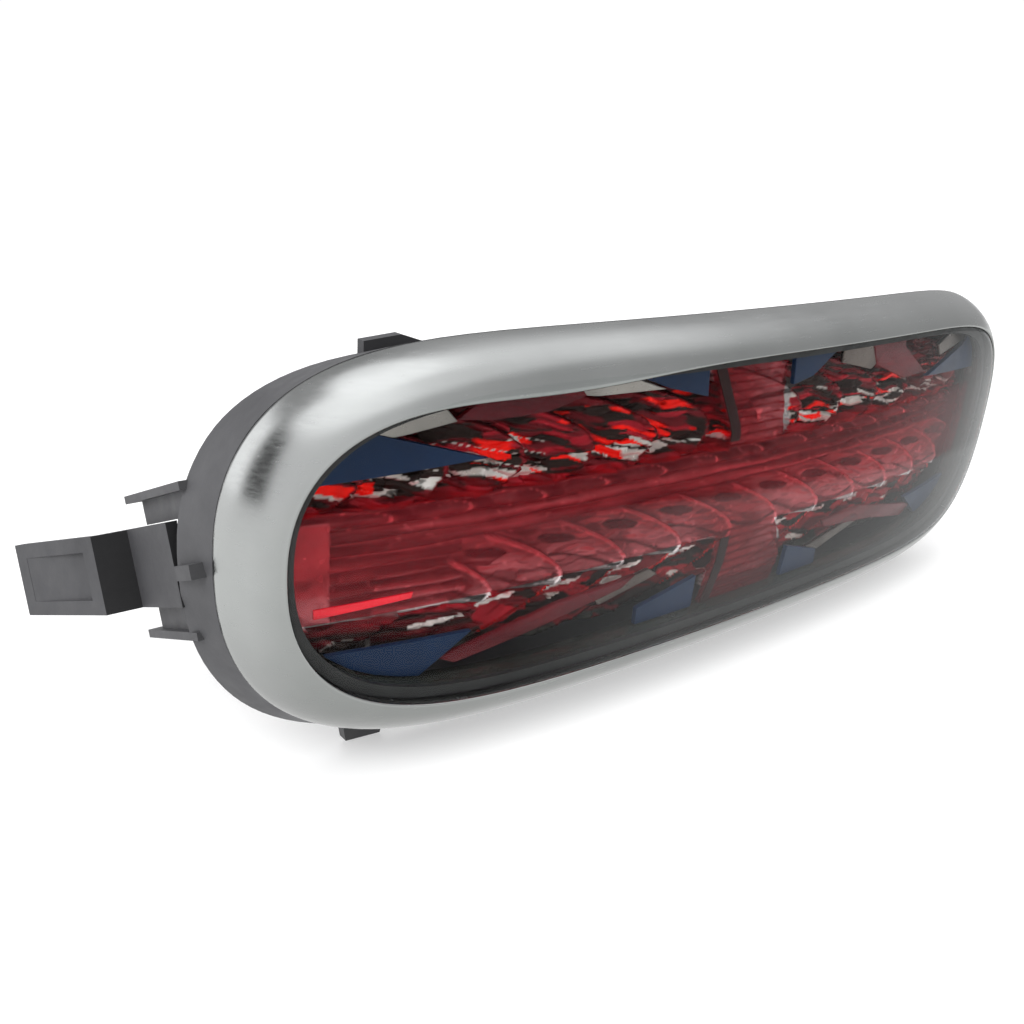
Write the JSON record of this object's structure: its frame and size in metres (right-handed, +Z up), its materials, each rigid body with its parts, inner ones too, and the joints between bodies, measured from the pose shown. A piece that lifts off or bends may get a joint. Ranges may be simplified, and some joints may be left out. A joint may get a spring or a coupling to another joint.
{
  "type": "high-mount stop lamp",
  "caption": "Long oval high-mount stop lamp with a domed smoked lens, satin silver trim ring, red cross insert, chromed reflector rows and snap-in end arms.",
  "frame": {"origin": "centre of the flat rest pad on the back wall of the rear body", "axes": "+X along the lamp, -Y the way the lens faces, +Z up; the lamp is pushed into its panel along a line 23.7 degrees below +Y"},
  "size_m": [0.2798, 0.092, 0.0847],
  "materials": {
    "trim_satin": "satin silver plate with fine brushing",
    "smoked_lens": "glossy, lightly smoked",
    "seal_rubber": "matt",
    "dark_bezel": "dark, glossy",
    "housing_plastic": "matt moulded grey",
    "body_plastic": "matt moulded dark grey",
    "seal_foam": "closed-cell foam",
    "screw_steel": "zinc plated",
    "socket_plastic": "matt black",
    "terminal_brass": "tinned brass",
    "membrane_fabric": "white membrane",
    "board_laminate": "white solder mask",
    "led_red": "clear red encapsulant",
    "chip_ceramic": "dark ceramic",
    "chip_black": "black epoxy",
    "lead_red_pvc": "red insulation",
    "lead_black_pvc": "black insulation",
    "tray_chrome": "vacuum metallised",
    "reflector_chrome": "vacuum metallised, bright",
    "red_lens": "deep red translucent",
    "red_strip": "deep red translucent",
    "pale_strip": "silvered pale plastic",
    "navy_panel": "opaque navy"
  },
  "bodies": {
    "housing": {"blue_corner_panels": "navy_panel", "board_capacitors": "chip_black", "board_resistors": "chip_ceramic", "board_screws": "screw_steel", "body_gasket": "seal_foam", "body_screws": "screw_steel", "circuit_board": "board_laminate", "connector_socket": "socket_plastic", "connector_terminals": "terminal_brass", "driver_chip": "chip_black", "inner_bezel": "dark_bezel", "lead_black": "lead_black_pvc", "lead_red": "lead_red_pvc", "led_chips": "led_red", "lens_seal": "seal_rubber", "outer_lens": "smoked_lens", "pale_diagonal_strips": "pale_strip", "rear_body": "body_plastic", "rear_housing": "housing_plastic", "red_cross_lens": "red_lens", "red_diagonal_strips": "red_strip", "reflector_lower": "reflector_chrome", "reflector_tray": "tray_chrome", "reflector_upper": "reflector_chrome", "trim_ring": "trim_satin", "vent_cap": "socket_plastic", "vent_membrane": "membrane_fabric"},
    "left_arm": {"snap_arm_left": "housing_plastic"},
    "right_arm": {"snap_arm_right": "housing_plastic"}
  },
  "joints": [
    {"name": "left_arm_flex", "type": "hinge", "parent": "housing", "child": "left_arm", "pos_m": [-0.1243, -0.01177, 0.00353], "axis": [0, -0.4019, -0.9157], "range_deg": [0, 6], "stiffness_Nm_per_rad": 1.5},
    {"name": "right_arm_flex", "type": "hinge", "parent": "housing", "child": "right_arm", "pos_m": [0.1243, -0.01177, 0.00353], "axis": [0, 0.4019, 0.9157], "range_deg": [0, 6], "stiffness_Nm_per_rad": 1.5}
  ]
}
